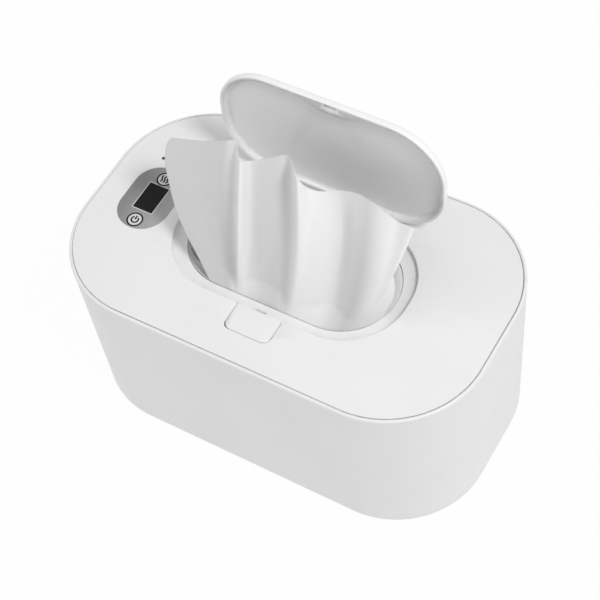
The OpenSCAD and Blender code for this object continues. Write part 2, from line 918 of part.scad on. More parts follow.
// Rocking button: its top closes the window, and a lip at its back edge catches the cap
module latch_button() {
  lip_reach = rocker_y + cap_d + lip_gap;
  color("white")
    difference() {
      union() {
        translate([button_x, 0, top_z - button_t])
          linear_extrude(button_t)
            button_outline(button_half, button_front, button_top_y, button_r);
        rod_x(button_x - button_half, button_x + button_half, rocker_y, rocker_z, rocker_r);
        translate([button_x - button_half, rocker_y - rocker_r, rocker_z])
          cube([button_w, 2 * rocker_r, top_z - button_t - rocker_z]);
        translate([button_x - lip_w / 2, rocker_y, top_z - lip_drop - lip_t])
          cube([lip_w, -lip_reach, lip_t]);
        translate([button_x, spring_y, top_z - button_t - 1.4])
          cylinder(r = 1.2, h = 1.4);
      }
      rod_x(button_x - button_half - 1, button_x + button_half + 1, rocker_y, rocker_z,
        button_pin_r + pin_gap);
    }
}

module button_pin() {
  half = button_half + button_gap + 2.4;
  color("silver")
    rod_x(button_x - half, button_x + half, rocker_y, rocker_z, button_pin_r);
}

// Points of a round wire section carried along a path, ring after ring
function wire_ring(c, n, b, r, sides) =
  [for (k = [0:sides - 1]) c + r * cos(360 * k / sides) * n + r * sin(360 * k / sides) * b];

// A closed coil about the z axis: turns of wire from z0 to z1
module coil(mean_r, wire_r, z0, z1, turns, sides = 6, steps = 16) {
  count = turns * steps;
  points = [for (i = [0:count]) each
    let (a = 360 * i / steps)
    wire_ring([mean_r * cos(a), mean_r * sin(a), z0 + (z1 - z0) * i / count],
      [cos(a), sin(a), 0], [0, 0, 1], wire_r, sides)];
  faces = concat(
    [[for (k = [0:sides - 1]) k]],
    [for (i = [0:count - 1], k = [0:sides - 1])
      let (a = i * sides + k, b = i * sides + (k + 1) % sides)
      [a, a + sides, b]],
    [for (i = [0:count - 1], k = [0:sides - 1])
      let (a = i * sides + k, b = i * sides + (k + 1) % sides)
      [b, a + sides, b + sides]],
    [[for (k = [sides - 1:-1:0]) count * sides + k]]);
  polyhedron(points, faces);
}

module button_spring() {
  color("silver")
    translate([button_x, spring_y, 0])
      coil(2.1, 0.25, skirt_bottom + liner_t + 0.3, top_z - button_t - 0.3, 5);
}

// Cap section: rim, rounded outer edge and skin, drawn closed
module cap_section() {
  cap_top = rim_z + cap_t;
  polygon(concat(
    [[cap_r - cap_rim - 1.6, cap_top - cap_skin], [cap_r - cap_rim, cap_top - cap_skin - 0.7],
      [cap_r - cap_rim, rim_z]],
    arc(cap_r - 0.5, rim_z + 0.5, 0.5, -90, 0, 3),
    arc(cap_r - cap_edge_r, cap_top - cap_edge_r, cap_edge_r, 0, 90),
    [[cap_r - cap_rim - 1.6, cap_top]]));
}

// Side view of a hinge arm: a hook from the cap's rim down and round to the pin
module arm_profile() {
  translate([arm_mid_y, arm_mid_z])
    difference() {
      circle(arm_mean_r + arm_half);
      circle(arm_mean_r - arm_half);
      translate([-10, 0])
        square([20, 10]);
    }
  translate([arm_mid_y - arm_mean_r - arm_half, arm_mid_z - eps])
    square([2 * arm_half, rim_z - arm_mid_z + 1]);
  translate([arm_mid_y + arm_mean_r - arm_half, arm_mid_z - eps])
    square([2 * arm_half, axis_z - arm_mid_z]);
  translate([axis_y, axis_z])
    circle(boss_r);
}

// Turns the closed cap to the open pose that the part is stored in
module opened() {
  translate([0, axis_y, axis_z])
    rotate([-cap_open, 0, 0])
      translate([0, -axis_y, -axis_z])
        children();
}

module flip_cap() {
  cap_top = rim_z + cap_t;
  pad_r = 30;
  color("white")
    opened()
      difference() {
        union() {
          around(cap_l - cap_r, cap_d - cap_r)
            cap_section();
          inner = cap_r - cap_rim - 1.6;
          plate(cap_l - cap_r + inner, cap_d - cap_r + inner, inner, cap_top - cap_skin, cap_top);
          translate([button_x, 0, rim_z])
            linear_extrude(cap_t - cap_skin + eps)
              intersection() {
                translate([-button_x, 0])
                  rounded(cap_l - 0.5, cap_d - 0.5, cap_r - 0.5);
                translate([0, -cap_d + 6 - pad_r])
                  circle(pad_r);
              }
          for (sx = [-1, 1])
            across_x(sx * arm_x, arm_w)
              arm_profile();
        }
        translate([button_x - slot_w / 2, -cap_d + 0.5, rim_z - 1])
          cube([slot_w, slot_d, slot_depth + 1]);
        rod_x(-pin_half, pin_half, axis_y, axis_z, hinge_pin_r + pin_gap);
      }
}

module cap_hinge_pin() {
  color("silver")
    rod_x(-pin_half, pin_half, axis_y, axis_z, hinge_pin_r);
}

module cap_spring() {
  color("silver")
    translate([1, axis_y, axis_z])
      rotate([0, 90, 0])
        coil(1.5, 0.22, 0, 11, 9, 6, 12);
}

// The pulled wipe's fold lines, from its left edge to the part folded back at its right
// edge. Each holds the share of the foot's length, how far the foot stays inside the mouth's
// edge, how far the line swells sideways low down, its middle (sideways, back) and its top
// (sideways, back, up).
wipe_lines = [
  [0, 0.3, -2.5, -55.5, -7, -58.5, 4, 46.5],
  [0.04, 0.3, -1.5, -45.5, -8, -50.5, 5, 48],
  [0.09, 0.8, 0, -35.5, -8, -40.5, 6.5, 50.5],
  [0.12, 2, 0, -27.5, -8, -33, 8.5, 52.5],
  [0.16, 2.6, 0, -20.5, -8.5, -28, 10, 53],
  [0.18, 0.2, 0, -15, -16, -22, 2.5, 53],
  [0.2, 0.2, 0, -13, -16, -20, 2, 53],
  [0.24, 2, 0, -12.5, -12, -19, 5, 50.5],
  [0.31, 3, 0, -9.5, -10, -16, 7, 50.5],
  [0.39, 3, 0, -2, -9, -10, 10, 52],
  [0.46, 2.5, 0, 5.5, -8, -4, 13, 53],
  [0.51, 0, 0, 14.5, -17, 7.5, 1, 58.5],
  [0.57, 1, 0, 18.5, -14, 11, 2.5, 52],
  [0.65, 2, 0, 23.5, -10, 15, 5, 49],
  [0.73, 3, 0, 31, -7, 21.5, 9, 47],
  [0.8, 2.4, 0, 38.5, -7, 29, 12, 47],
  [0.86, 1, 0, 48, -12, 39, 11, 46.5],
  [0.89, 0.4, 0, 52, -13, 48.5, 9, 43.5],
  [0.92, 0, 0, 54.5, -12, 57.5, 7, 45.5],
  [1, 0.3, 3, 51.5, -3, 49, 13, 30.5]];
wipe_last = len(wipe_lines) - 1;
wipe_peak = 58;
wipe_middle = 28;
function line_at(i) = wipe_lines[min(max(i, 0), wipe_last)];
// A smooth curve through the lines, at any place u across the wipe
function wipe_line(u) =
  let (
    i = max(0, min(floor(u * wipe_last), wipe_last - 1)),
    t = u * wipe_last - i,
    a = line_at(i - 1), b = line_at(i), c = line_at(i + 1), d = line_at(i + 2))
  b + 0.5 * t * (c - a + t * (2 * a - 5 * b + 4 * c - d + t * (3 * (b - c) + d - a)));
function wipe_foot(q) =
  let (
    x = wipe_left + (wipe_right - wipe_left) * q[0],
    over = max(0, abs(x) - (mouth_l - mouth_r)),
    y = sqrt(max(0, pow(wipe_foot_d - q[1], 2) - pow(over, 2))))
  [x, -y, seat_z];
// A parabola from the foot through the middle to the top; below the mouth it hangs straight
function wipe_point(u, v) =
  let (
    q = wipe_line(u),
    foot = wipe_foot(q),
    middle = [q[3], q[4], top_z + wipe_middle * wipe_h / wipe_peak],
    top = [q[5], q[6], top_z + q[7] * wipe_h / wipe_peak])
  v < 0 ? foot + [0, 0, v * wipe_tail]
    : foot * (2 * v - 1) * (v - 1) + middle * 4 * v * (1 - v) + top * v * (2 * v - 1)
      + [q[2] * sin(180 * min(2 * v, 1)), 0, 0];
function unit(a) = a / norm(a);
function wipe_normal(u, v) =
  let (h = 0.004)
  unit(cross(wipe_point(u + h, v) - wipe_point(u - h, v), wipe_point(u, v + h) - wipe_point(u, v - h)));

module wipe() {
  rows = wipe_rows + 2;
  cols = wipe_cols;
  function level(j) = j < 3 ? (j - 2) / 2 : (j - 2) / (rows - 2);
  front = [for (j = [0:rows], i = [0:cols])
    wipe_point(i / cols, level(j)) + wipe_normal(i / cols, level(j)) * wipe_t / 2];
  back = [for (j = [0:rows], i = [0:cols])
    wipe_point(i / cols, level(j)) - wipe_normal(i / cols, level(j)) * wipe_t / 2];
  n = (rows + 1) * (cols + 1);
  w = cols + 1;
  edge = concat([for (i = [0:cols]) i], [for (j = [1:rows]) j * w + cols],
    [for (i = [cols - 1:-1:0]) rows * w + i], [for (j = [rows - 1:-1:1]) j * w]);
  faces = concat(
    [for (j = [0:rows - 1], i = [0:cols - 1]) each
      let (a = j * w + i) [[a, a + w, a + 1], [a + 1, a + w, a + w + 1]]],
    [for (j = [0:rows - 1], i = [0:cols - 1]) each
      let (a = n + j * w + i) [[a, a + 1, a + w], [a + 1, a + w + 1, a + w]]],
    [for (k = [0:len(edge) - 1]) each
      let (a = edge[k], b = edge[(k + 1) % len(edge)]) [[a, b, n + a], [b, n + b, n + a]]]);
  color("white")
    polyhedron(concat(front, back), faces);
}

outer_shell();
bottom_cover();
rubber_feet();
cover_screws();
wipe_chamber();
chamber_screws();
insulation_sleeve();
heat_spreader();
heater_film();
insulation_pad();
temperature_sensor();
thermal_cutoff();
power_board();
power_socket();
board_screws();
heater_leads();
lid_plate();
lid_liner();
lid_screws();
lid_seal();
control_panel();
display_window();
display_module();
control_board();
control_board_screws();
touch_springs();
indicator_lens();
latch_button();
button_pin();
button_spring();
flip_cap();
cap_hinge_pin();
cap_spring();
wipe();
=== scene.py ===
"""Baby wipe warmer: a white moulded body with an inset top, touch panel, latch button,
open flip cap and one wipe pulled up through the oval mouth. Sizes of the wipe and the panel
print are in millimetres, and become metres where their meshes are made."""

import math

import bmesh
import bpy
import numpy as np
from mathutils import Matrix, Vector


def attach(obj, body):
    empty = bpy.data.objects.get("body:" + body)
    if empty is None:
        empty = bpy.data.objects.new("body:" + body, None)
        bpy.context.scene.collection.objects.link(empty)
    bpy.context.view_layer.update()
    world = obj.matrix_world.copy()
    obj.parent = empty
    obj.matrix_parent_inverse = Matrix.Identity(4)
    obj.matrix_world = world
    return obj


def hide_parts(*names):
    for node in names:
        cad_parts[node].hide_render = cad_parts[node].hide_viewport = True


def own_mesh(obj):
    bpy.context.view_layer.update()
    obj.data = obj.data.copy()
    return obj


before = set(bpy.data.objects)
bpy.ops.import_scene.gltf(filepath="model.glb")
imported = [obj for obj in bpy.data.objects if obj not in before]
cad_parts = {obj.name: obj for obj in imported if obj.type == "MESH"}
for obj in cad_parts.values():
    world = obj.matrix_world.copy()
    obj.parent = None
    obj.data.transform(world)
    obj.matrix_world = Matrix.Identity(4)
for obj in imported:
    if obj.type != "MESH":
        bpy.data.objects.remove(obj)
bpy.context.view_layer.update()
MM = 0.001

# Levels of the lid's face and of the seat round the mouth, and the panel's centre, in millimetres
TOP = 92.8
SEAT = 90.0
PANEL_X = -74.4
# The lid edge's corner centres and radius, how close to that radius a point of the edge lies,
# and how much further out the lid's skin reaches, in metres
SEAM_X, SEAM_Y, SEAM_R = 0.055, 0.015, 0.04305
SEAM_WITHIN, SEAM_REACH = 0.00002, 0.0002
# On moulded parts, points closer than this many metres are joined, and edges sharper than this
# many degrees stay crisp
JOIN_WITHIN, CRISP_EDGE = 1e-6, 40
# The wipe's thickness in metres
CLOTH_WALL = 0.0004
# The wipe's grey and white bands, painted shade and painted light of its folds: the width they
# cross on its own map, where 1 is 100 mm, and the tone at shares of that width
FOLD_SHADE_WIDTH = 1.25
FOLD_SHADE_TONES = ((0, 227), (0.2, 217), (0.26, 246), (0.33, 250), (0.39, 228), (0.45, 220), (0.5, 230),
              (0.57, 252), (0.6, 254), (0.68, 248), (0.74, 232), (0.82, 220), (0.9, 248), (1, 252))
WHITE = (1, 1, 1, 1)


def srgb(*c):
    """A colour as seen on a screen, 0 to 255, turned into linear light."""
    v = np.array(c, float) / 255
    v = np.where(v <= 0.04045, v / 12.92, ((v + 0.055) / 1.055) ** 2.4)
    return tuple(v) + (1.0,)


def placed(name, data):
    """A new object in the scene that holds a mesh, lamp or camera."""
    thing = bpy.data.objects.new(name, data)
    bpy.context.scene.collection.objects.link(thing)
    return thing


# ---------------------------------------------------------------- finishes

def node_material(name):
    """A new node material with its shader and output in place."""
    m = bpy.data.materials.new(name)
    m.use_nodes = True
    nodes, links = m.node_tree.nodes, m.node_tree.links
    return m, nodes, links, nodes["Principled BSDF"]


def grain(nodes, links, scale, detail, low, high, coords="Object"):
    """Noise of a given scale mapped to a range of values."""
    where = nodes.new("ShaderNodeTexCoord")
    noise = nodes.new("ShaderNodeTexNoise")
    noise.inputs["Scale"].default_value = scale
    noise.inputs["Detail"].default_value = detail
    links.new(where.outputs[coords], noise.inputs["Vector"])
    span = nodes.new("ShaderNodeMapRange")
    span.inputs["From Min"].default_value = 0.3
    span.inputs["From Max"].default_value = 0.7
    span.inputs["To Min"].default_value = low
    span.inputs["To Max"].default_value = high
    links.new(noise.outputs["Fac"], span.inputs["Value"])
    return span.outputs["Result"]


def tinted(nodes, links, factor, dark, light):
    """Two colours mixed by a factor."""
    mix = nodes.new("ShaderNodeMix")
    mix.data_type = "RGBA"
    mix.inputs["A"].default_value = dark
    mix.inputs["B"].default_value = light
    links.new(factor, mix.inputs["Factor"])
    return mix.outputs["Result"]


def place_along(nodes, links, coords, low, high):
    """0 to 1 from a low to a high place along the first axis of some coordinates."""
    where = nodes.new("ShaderNodeTexCoord")
    axes = nodes.new("ShaderNodeSeparateXYZ")
    links.new(where.outputs[coords], axes.inputs["Vector"])
    across = nodes.new("ShaderNodeMapRange")
    across.inputs["From Min"].default_value = low
    across.inputs["From Max"].default_value = high
    links.new(axes.outputs["X"], across.inputs["Value"])
    return across.outputs["Result"]


def relief(nodes, links, shader, height, strength, distance):
    """A bump from a height on the shader's normal."""
    bump = nodes.new("ShaderNodeBump")
    bump.inputs["Strength"].default_value = strength
    bump.inputs["Distance"].default_value = distance
    links.new(height, bump.inputs["Height"])
    links.new(bump.outputs["Normal"], shader.inputs["Normal"])


def plastic(name, dark, light, rough, coat=0.0, bump=0.03, scale=900):
    """Moulded plastic: a faint cloudiness in the colour, uneven gloss and fine texture."""
    m, nodes, links, shader = node_material(name)
    cloud = grain(nodes, links, 30, 3, 0, 1)
    links.new(tinted(nodes, links, cloud, dark, light), shader.inputs["Base Color"])
    links.new(grain(nodes, links, 120, 2, rough - 0.04, rough + 0.04), shader.inputs["Roughness"])
    shader.inputs["Coat Weight"].default_value = coat
    shader.inputs["Coat Roughness"].default_value = 0.2
    relief(nodes, links, shader, grain(nodes, links, scale, 2, 0, 1), bump, 0.0002)
    return m


def film_with_painted_light(name, dark, light, rough):
    """Film on the touch panel: a fine grain over a tone that lightens to the right, painted light
    from that side.
    """
    m, nodes, links, shader = node_material(name)
    # Painted light: the panel's tone lightens towards the right, where the light falls from
    across = place_along(nodes, links, "Object", (PANEL_X - 10) * MM, (PANEL_X + 10) * MM)
    links.new(tinted(nodes, links, across, dark, light), shader.inputs["Base Color"])
    links.new(grain(nodes, links, 120, 2, rough - 0.04, rough + 0.04), shader.inputs["Roughness"])
    relief(nodes, links, shader, grain(nodes, links, 1600, 2, 0, 1), 0.08, 0.0002)
    return m


def metal(name, colour, rough, scale=400):
    """Machined or drawn metal with fine uneven gloss."""
    m, nodes, links, shader = node_material(name)
    shader.inputs["Metallic"].default_value = 1.0
    dark = tuple(0.86 * v for v in colour[:3]) + (1.0,)
    links.new(tinted(nodes, links, grain(nodes, links, 200, 3, 0, 1), dark, colour),
              shader.inputs["Base Color"])
    links.new(grain(nodes, links, scale, 4, rough - 0.08, rough + 0.08), shader.inputs["Roughness"])
    relief(nodes, links, shader, grain(nodes, links, scale, 3, 0, 1), 0.05, 0.0001)
    return m


def foam(name, dark, light):
    """Open foam: coarse bubbles in colour and relief, no gloss."""
    m, nodes, links, shader = node_material(name)
    cells = grain(nodes, links, 700, 4, 0, 1)
    links.new(tinted(nodes, links, cells, dark, light), shader.inputs["Base Color"])
    shader.inputs["Roughness"].default_value = 0.95
    relief(nodes, links, shader, cells, 0.6, 0.0006)
    return m


def cloth(name):
    """Non-woven cloth: matted fibres on the cloth's own map, grey and white bands across its
    width that are painted shade and painted light of the folds, and some light through it."""
    m, nodes, links, shader = node_material(name)
    shader.inputs["Roughness"].default_value = 0.85
    shader.inputs["Sheen Weight"].default_value = 0.15
    shader.inputs["Sheen Roughness"].default_value = 0.6
    fibres = grain(nodes, links, 260, 6, 0, 1, "UV")
    # Painted shade and light: the grey bands stand for the folds' shade, the white ones for their lit
    # sides
    bands = nodes.new("ShaderNodeValToRGB")
    stops = bands.color_ramp.elements
    for share, _ in FOLD_SHADE_TONES[1:-1]:
        stops.new(share)
    for stop, (_, tone) in zip(stops, FOLD_SHADE_TONES):
        stop.color = srgb(tone, tone, tone)
    links.new(place_along(nodes, links, "UV", 0, FOLD_SHADE_WIDTH), bands.inputs["Fac"])
    both = nodes.new("ShaderNodeMix")
    both.data_type = "RGBA"
    both.blend_type = "MULTIPLY"
    both.inputs["Factor"].default_value = 1
    links.new(bands.outputs["Color"], both.inputs["A"])
    links.new(tinted(nodes, links, fibres, (0.93, 0.93, 0.93, 1), WHITE), both.inputs["B"])
    links.new(both.outputs["Result"], shader.inputs["Base Color"])
    relief(nodes, links, shader, fibres, 0.35, 0.0003)
    through = nodes.new("ShaderNodeBsdfTranslucent")
    through.inputs["Color"].default_value = srgb(250, 250, 250)
    mix = nodes.new("ShaderNodeMixShader")
    mix.inputs["Fac"].default_value = 0.12
    links.new(shader.outputs["BSDF"], mix.inputs[1])
    links.new(through.outputs["BSDF"], mix.inputs[2])
    links.new(mix.outputs["Shader"], nodes["Material Output"].inputs["Surface"])
    return m


white_satin = plastic("white_satin_shell", srgb(233, 233, 233), srgb(236, 236, 236), 0.42)
white_gloss = plastic("white_gloss_top", srgb(234, 234, 234), srgb(237, 237, 237), 0.36)
# The cap's white is lighter than the lid's: painted light on its shaded inner face
white_cap_painted_light = plastic("white_flip_cap_painted_light", srgb(244, 244, 244), srgb(247, 247, 247), 0.36)
white_inner = plastic("white_chamber", srgb(236, 236, 236), srgb(240, 240, 240), 0.5)
cover_grey = plastic("grey_cover", srgb(205, 205, 204), srgb(214, 214, 213), 0.6, 0, 0.15, 500)
panel_grey = film_with_painted_light("silver_grey_panel", srgb(130, 130, 131), srgb(168, 168, 169), 0.45)
display_black = plastic("black_display", srgb(20, 20, 22), srgb(28, 28, 30), 0.12)
display_black.node_tree.nodes["Principled BSDF"].inputs["Specular IOR Level"].default_value = 0.12
sensor_black = plastic("black_epoxy", srgb(20, 20, 20), srgb(34, 34, 34), 0.5, 0, 0.2, 500)
lens_dark = plastic("smoked_lens", srgb(30, 30, 32), srgb(40, 40, 42), 0.3)
board_green = plastic("green_board", srgb(24, 74, 42), srgb(38, 96, 56), 0.4, 0.2, 0.3, 300)
foot_rubber = plastic("dark_rubber", srgb(58, 58, 60), srgb(72, 72, 74), 0.85, 0, 0.3, 500)
seal_rubber = plastic("grey_silicone", srgb(205, 206, 205), srgb(216, 217, 216), 0.6, 0, 0.1, 400)
film_amber = plastic("amber_film", srgb(178, 104, 36), srgb(206, 130, 52), 0.25)
wire_red = plastic("red_wire", srgb(150, 24, 20), srgb(178, 34, 28), 0.45)
screw_steel = metal("screw_steel", (0.62, 0.63, 0.64, 1), 0.32)
spring_steel = metal("spring_steel", (0.7, 0.7, 0.71, 1), 0.25)
spreader_alu = metal("rolled_aluminium", (0.8, 0.81, 0.82, 1), 0.38, 250)
grey_foam = foam("grey_foam", srgb(150, 150, 148), srgb(182, 182, 180))
wipe_cloth = cloth("damp_cloth_painted_fold_shade")
key_print = plastic("light_key_print", srgb(206, 206, 207), srgb(214, 214, 215), 0.45)

FINISH = {
    "outer_shell": white_satin, "bottom_cover": cover_grey, "rubber_feet": foot_rubber,
    "cover_screws": screw_steel, "wipe_chamber": white_inner, "chamber_screws": screw_steel,
    "insulation_sleeve": grey_foam, "heat_spreader": spreader_alu, "heater_film": film_amber,
    "insulation_pad": grey_foam, "temperature_sensor": sensor_black,
    "thermal_cutoff": screw_steel, "power_board": board_green, "power_socket": screw_steel,
    "board_screws": screw_steel, "heater_leads": wire_red, "lid_plate": white_gloss,
    "lid_liner": white_inner, "lid_screws": screw_steel, "lid_seal": seal_rubber,
    "control_panel": panel_grey, "display_window": display_black,
    "display_module": sensor_black, "control_board": board_green,
    "control_board_screws": screw_steel, "touch_springs": spring_steel,
    "indicator_lens": lens_dark, "latch_button": white_gloss, "button_pin": screw_steel,
    "button_spring": spring_steel, "flip_cap": white_cap_painted_light, "cap_hinge_pin": screw_steel,
    "cap_spring": spring_steel, "wipe": wipe_cloth}

for name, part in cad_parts.items():
    part.data.materials.clear()
    part.data.materials.append(FINISH[name])


# ---------------------------------------------------------------- pieces

def moulded(name, body):
    """A moulded part's own surface, joined up and shaded smooth between its edges."""
    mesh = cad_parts[name].data.copy()
    mesh.name = name + "_moulding"
    piece = placed(name + "_moulding", mesh)
    bm = bmesh.new()
    bm.from_mesh(mesh)
    bmesh.ops.remove_doubles(bm, verts=bm.verts, dist=JOIN_WITHIN)
    bm.to_mesh(mesh)
    bm.free()
    mesh.shade_smooth()
    mesh.set_sharp_from_angle(angle=math.radians(CRISP_EDGE))
    piece.modifiers.new("face_weighted", "WEIGHTED_NORMAL").keep_sharp = True
    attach(piece, body)
    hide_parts(name)
    return piece


RIGID_SKINS = {
    "outer_shell": ("base", "shell_white"), "bottom_cover": ("base", "cover_grey"),
    "rubber_feet": ("base", "foot_rubber"), "wipe_chamber": ("base", "inner_white"),
    "lid_plate": ("top_lid", "lid_white"), "lid_liner": ("top_lid", "inner_white"),
    "lid_seal": ("top_lid", "seal_rubber"), "control_panel": ("top_lid", "panel_grey"),
    "latch_button": ("latch", "lid_white"), "flip_cap": ("cap", "lid_white")}
skins = {name: moulded(name, body) for name, (body, slot) in RIGID_SKINS.items()}

# The button's spring: a moulded copy with a mesh of its own
pressed_spring = moulded("button_spring", "top_lid")
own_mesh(pressed_spring)

# The lid's seam with the shell is a fine line: its edge reaches a little further out
for point in skins["lid_plate"].data.vertices:
    corner = Vector((max(abs(point.co.x) - SEAM_X, 0), max(abs(point.co.y) - SEAM_Y, 0)))
    if corner.length > SEAM_R - SEAM_WITHIN:
        corner.length = SEAM_REACH
        point.co.x += math.copysign(corner.x, point.co.x)
        point.co.y += math.copysign(corner.y, point.co.y)


def surface(name, points, uv, material):
    """A grid of points (rows, columns, xyz in mm) as one smooth mesh with the grid's own map."""
    rows, cols = points.shape[:2]
    i, j = np.meshgrid(np.arange(rows - 1), np.arange(cols - 1), indexing="ij")
    first = i * cols + j
    quads = np.stack([first, first + 1, first + cols + 1, first + cols], -1)
    mesh = bpy.data.meshes.new(name)
    mesh.from_pydata((points.reshape(-1, 3) * MM).tolist(), [], quads.reshape(-1, 4).tolist())
    mesh.shade_smooth()
    layer = mesh.uv_layers.new(name="cloth")
    corner = np.empty(len(mesh.loops), int)
    mesh.loops.foreach_get("vertex_index", corner)
    layer.data.foreach_set("uv", uv.reshape(-1, 2)[corner].ravel())
    mesh.materials.append(material)
    return placed(name, mesh)


# The pulled wipe's fold lines, from its left edge to the part folded back at its right
# edge: share of the foot's length, how far the foot stays inside the mouth's edge, how far
# the line swells sideways low down, its middle (sideways, back) and its top (sideways, back,
# up from the lid's face).
WIPE_LINES = np.array([
    [0, 0.3, -1.5, -54.5, -7, -57.5, 4, 46.5], [0.04, 0.3, -1.5, -45.5, -8, -50.5, 5, 48],
    [0.09, 0.8, 0, -35.5, -8, -40.5, 6.5, 50.5], [0.12, 2, 0, -27.5, -8, -33, 8.5, 52.5],
    [0.16, 2.6, 0, -20.5, -8.5, -28, 10, 53], [0.18, 0.2, 0, -15, -16, -22, 2.5, 53],
    [0.2, 0.2, 0, -13, -16, -20, 2, 53], [0.24, 2, 0, -12.5, -12, -19, 5, 50.5],
    [0.31, 3, 0, -9.5, -10, -16, 7, 50.5], [0.39, 3, 0, -2, -9, -10, 10, 52],
    [0.46, 2.5, 0, 5.5, -8, -4, 13, 53], [0.51, 0, 0, 14.5, -17, 7.5, 1, 58.5],
    [0.57, 1, 0, 18.5, -14, 11, 2.5, 52], [0.65, 2, 0, 23.5, -10, 15, 5, 49],
    [0.73, 3, 0, 28.5, -3.5, 21, 10, 47], [0.8, 2.4, 0, 36.5, -8.5, 29, 12, 47],
    [0.86, 1, 0, 46, -13.5, 39, 10.5, 46.5], [0.89, 0.4, 0, 52, -13, 48.5, 9, 43.5],
    [0.92, 0, 0, 54.5, -12, 57.5, 7, 45.5], [1, 0.3, 3, 51.5, -3, 49, 13, 30.5]], float)
# How many places the sheet has across and up
SHEET_ACROSS, SHEET_UP = 300, 130
# Where the foot starts and ends along the mouth, and how close it stays to the mouth's edge;
# the fold lines' distances inside that edge count from a little further in, and set in low down
FOOT_LEFT, FOOT_RIGHT = -27.5, 49
FOOT_GAP = 0.28
LINES_IN, LINES_FROM = 0.6, 0.12
# Radius of the mouth's round ends and half the distance between their centres
MOUTH_R = 25.8
MOUTH_STRAIGHT = 24.9
# Height of the fold lines' middle points above the lid's face
MIDDLE_UP = 28
# The tail below the foot: its share of height, how deep it goes, how far back it ends and how
# much it narrows
TAIL_SHARE = 0.4
TAIL_DOWN = 9
TAIL_BACK = -13
TAIL_NARROWS = 0.1
# The share of the sheet's width that fans out at each end, and how far it sinks there: evenly,
# and more at its tip
END_SHARE = 0.22
END_SINKS, TIP_SINKS = 0.4, 1.6
# The left end turns by this angle, all of it by this share of the depth
LEFT_TURN, LEFT_TURN_BY = 1.35, 0.7
# The right end stops at an angle and a reach about the centre of the mouth's right end, and both
# grow towards the sheet's edge; the fan sets in over a share of the end
RIGHT_STOP, RIGHT_TURN = math.radians(-62), 2.2
RIGHT_REACH, RIGHT_GROWTH = 14, 11.5
RIGHT_BLEND = 0.3


def curve_through(rows, u):
    """Catmull-Rom curve through rows:
    b + t/2 (c - a + t (2a - 5b + 4c - d + t (3(b - c) + d - a)))."""
    last = len(rows) - 1
    place = np.clip(u, 0, 1) * last
    i = np.minimum(np.floor(place).astype(int), last - 1)
    t = (place - i)[..., None]
    a, b, c, d = (rows[np.clip(i + k, 0, last)] for k in (-1, 0, 1, 2))
    return b + 0.5 * t * (c - a + t * (2 * a - 5 * b + 4 * c - d + t * (3 * (b - c) + d - a)))


def eased(t):
    """Smooth step 3t^2 - 2t^3 from 0 to 1."""
    t = np.clip(t, 0, 1)
    return t * t * (3 - 2 * t)


def foot_line(share, inside):
    """Places along the mouth's front edge, so far inside it: x and y."""
    x = FOOT_LEFT + (FOOT_RIGHT - FOOT_LEFT) * share
    over = np.maximum(0, np.abs(x) - MOUTH_STRAIGHT)
    return x, -np.sqrt(np.maximum(0, (MOUTH_R - inside) ** 2 - over ** 2))


def left_turned(x, y, left, sink):
    """The left end turned about the centre of the mouth's left end as it sinks."""
    turn = -LEFT_TURN * left * eased(sink / LEFT_TURN_BY)
    out = x + MOUTH_STRAIGHT
    return (out * np.cos(turn) - y * np.sin(turn) - MOUTH_STRAIGHT,
            out * np.sin(turn) + y * np.cos(turn))


def right_fanned(x, y, foot_x, foot_y, right, sink):
    """The right end spread as a fan about the centre of the mouth's right end as it sinks."""
    angle = np.arctan2(foot_y, foot_x - MOUTH_STRAIGHT)
    far = np.hypot(foot_y, foot_x - MOUTH_STRAIGHT)
    angle += (RIGHT_STOP + RIGHT_TURN * right - angle) * eased(sink)
    far += (RIGHT_REACH + RIGHT_GROWTH * right ** 1.5 - far) * eased(sink)
    fan = eased(right / RIGHT_BLEND) * (sink > 0)
    return (x + (MOUTH_STRAIGHT + far * np.cos(angle) - x) * fan,
            y + (far * np.sin(angle) - y) * fan)


def kept_inside(x, y, sink):
    """Places below the foot, drawn in to the mouth's edge where they would pass it."""
    over = np.maximum(np.abs(x) - MOUTH_STRAIGHT, 0) * np.sign(x)
    reach = np.maximum(np.hypot(over, y), 1e-6)
    inward = np.where(sink > 0, np.minimum(1, (MOUTH_R - FOOT_GAP) / reach), 1)
    return x - over + over * inward, y * inward


